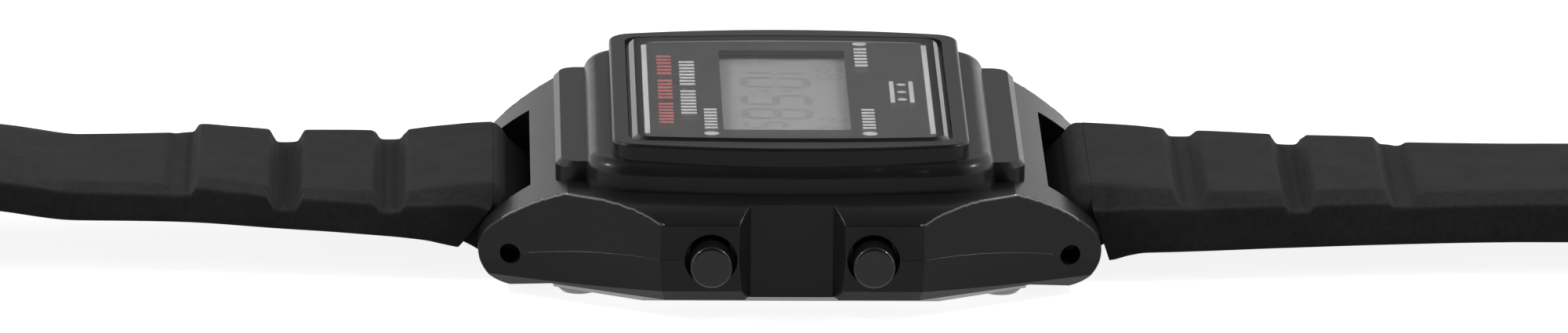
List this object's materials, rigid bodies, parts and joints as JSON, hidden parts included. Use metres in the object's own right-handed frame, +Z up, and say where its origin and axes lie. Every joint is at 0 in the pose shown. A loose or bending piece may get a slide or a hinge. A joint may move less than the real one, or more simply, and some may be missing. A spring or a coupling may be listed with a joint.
{
  "type": "digital wristwatch",
  "caption": "Digital wristwatch in black resin: stepped bezel over a faceted case, display under a flat crystal, side pushers, and a grooved strap on spring bars with a pin buckle.",
  "frame": {"origin": "centre of the case back's outer face", "axes": "+X towards 12 o'clock along the strap, -Y towards 3 o'clock, +Z up out of the dial"},
  "size_m": [0.2256, 0.0404, 0.0099],
  "materials": {
    "case_resin": "black moulded resin, satin",
    "crystal": "clear moulded window, polished",
    "seal_rubber": "black rubber",
    "dial_print": "black printed plate",
    "lcd_film": "grey polarising film",
    "lcd_glass": "thin display glass",
    "lcd_reflector": "matt silver film",
    "zebra_rubber": "grey layered rubber",
    "module_plastic": "dark moulded plastic",
    "insulator_film": "amber film",
    "circuit_board": "green board with lacquer",
    "chip_resin": "black potting resin",
    "bright_steel": "bright steel",
    "spring_metal": "spring wire and leaf",
    "brass": "thin brass sheet",
    "case_back_steel": "brushed stainless steel",
    "screw_steel": "dull steel",
    "strap_resin": "black moulded strap resin, soft grain",
    "buckle_steel": "brushed stainless steel",
    "pusher_black": "black gloss pusher"
  },
  "bodies": {
    "case": {"bar_spring_long": "spring_metal", "bar_spring_short": "spring_metal", "bar_tube_long": "bright_steel", "bar_tube_short": "bright_steel", "battery": "bright_steel", "battery_clamp": "bright_steel", "battery_contact": "spring_metal", "battery_frame": "module_plastic", "buzzer_disc": "brass", "buzzer_spring": "spring_metal", "case_back": "case_back_steel", "case_back_screws": "screw_steel", "case_back_seal": "seal_rubber", "case_body": "case_resin", "chip_cover": "chip_resin", "circuit_board": "circuit_board", "crystal": "crystal", "crystal_gasket": "seal_rubber", "dial_plate": "dial_print", "front_polariser": "lcd_film", "insulator_sheet": "insulator_film", "lcd_glass": "lcd_glass", "module_frame": "module_plastic", "pusher_spring_lower_right": "spring_metal", "pusher_spring_upper_left": "spring_metal", "pusher_spring_upper_right": "spring_metal", "quartz_can": "bright_steel", "rear_reflector": "lcd_reflector", "switch_leaf_lower_right": "brass", "switch_leaf_upper_left": "brass", "switch_leaf_upper_right": "brass", "zebra_connector_lower": "zebra_rubber", "zebra_connector_upper": "zebra_rubber"},
    "strap_6": {"strap_long": "strap_resin"},
    "strap_12": {"strap_short": "strap_resin"},
    "keeper": {"strap_keeper": "strap_resin"},
    "buckle": {"buckle_frame": "buckle_steel", "buckle_pin": "buckle_steel"},
    "tongue": {"buckle_tongue": "buckle_steel"},
    "button_lower_right": {"pusher_lower_right": "pusher_black", "pusher_seal_lower_right": "seal_rubber", "pusher_clip_lower_right": "spring_metal"},
    "button_upper_right": {"pusher_upper_right": "pusher_black", "pusher_seal_upper_right": "seal_rubber", "pusher_clip_upper_right": "spring_metal"},
    "button_upper_left": {"pusher_upper_left": "pusher_black", "pusher_seal_upper_left": "seal_rubber", "pusher_clip_upper_left": "spring_metal"},
    "bar_end_long_near": {"bar_tip_long_near": "bright_steel"},
    "bar_end_long_far": {"bar_tip_long_far": "bright_steel"},
    "bar_end_short_near": {"bar_tip_short_near": "bright_steel"},
    "bar_end_short_far": {"bar_tip_short_far": "bright_steel"}
  },
  "joints": [
    {"name": "press_lower_right", "type": "slide", "parent": "case", "child": "button_lower_right", "axis": [0, 1, 0], "range_m": [0, 0.0009], "stiffness_N_per_m": 350, "deforming": ["pusher_spring_lower_right"]},
    {"name": "press_upper_right", "type": "slide", "parent": "case", "child": "button_upper_right", "axis": [0, 1, 0], "range_m": [0, 0.0009], "stiffness_N_per_m": 350, "deforming": ["pusher_spring_upper_right"]},
    {"name": "press_upper_left", "type": "slide", "parent": "case", "child": "button_upper_left", "axis": [0, -1, 0], "range_m": [0, 0.0009], "stiffness_N_per_m": 350, "deforming": ["pusher_spring_upper_left"]},
    {"name": "retract_long_near", "type": "slide", "parent": "case", "child": "bar_end_long_near", "axis": [0, 1, 0], "range_m": [0, 0.00125], "stiffness_N_per_m": 400, "deforming": ["bar_spring_long"]},
    {"name": "retract_long_far", "type": "slide", "parent": "case", "child": "bar_end_long_far", "axis": [0, -1, 0], "range_m": [0, 0.00125], "stiffness_N_per_m": 400},
    {"name": "retract_short_near", "type": "slide", "parent": "case", "child": "bar_end_short_near", "axis": [0, 1, 0], "range_m": [0, 0.00125], "stiffness_N_per_m": 400, "deforming": ["bar_spring_short"]},
    {"name": "retract_short_far", "type": "slide", "parent": "case", "child": "bar_end_short_far", "axis": [0, -1, 0], "range_m": [0, 0.00125], "stiffness_N_per_m": 400},
    {"name": "swing_strap_6", "type": "hinge", "parent": "case", "child": "strap_6", "pos_m": [-0.01705, 0, 0.00266], "axis": [0, 1, 0], "range_deg": [-80, 20]},
    {"name": "swing_strap_12", "type": "hinge", "parent": "case", "child": "strap_12", "pos_m": [0.01705, 0, 0.00266], "axis": [0, -1, 0], "range_deg": [-80, 20]},
    {"name": "slide_keeper", "type": "slide", "parent": "strap_12", "child": "keeper", "axis": [1, 0, 0], "range_m": [-0.022, 0.003]},
    {"name": "swing_buckle", "type": "hinge", "parent": "strap_12", "child": "buckle", "pos_m": [0.08505, 0, 0.00275], "axis": [0, -1, 0], "range_deg": [-60, 60]},
    {"name": "swing_tongue", "type": "hinge", "parent": "buckle", "child": "tongue", "pos_m": [0.08505, 0, 0.00275], "axis": [0, -1, 0], "range_deg": [0, 90]}
  ]
}
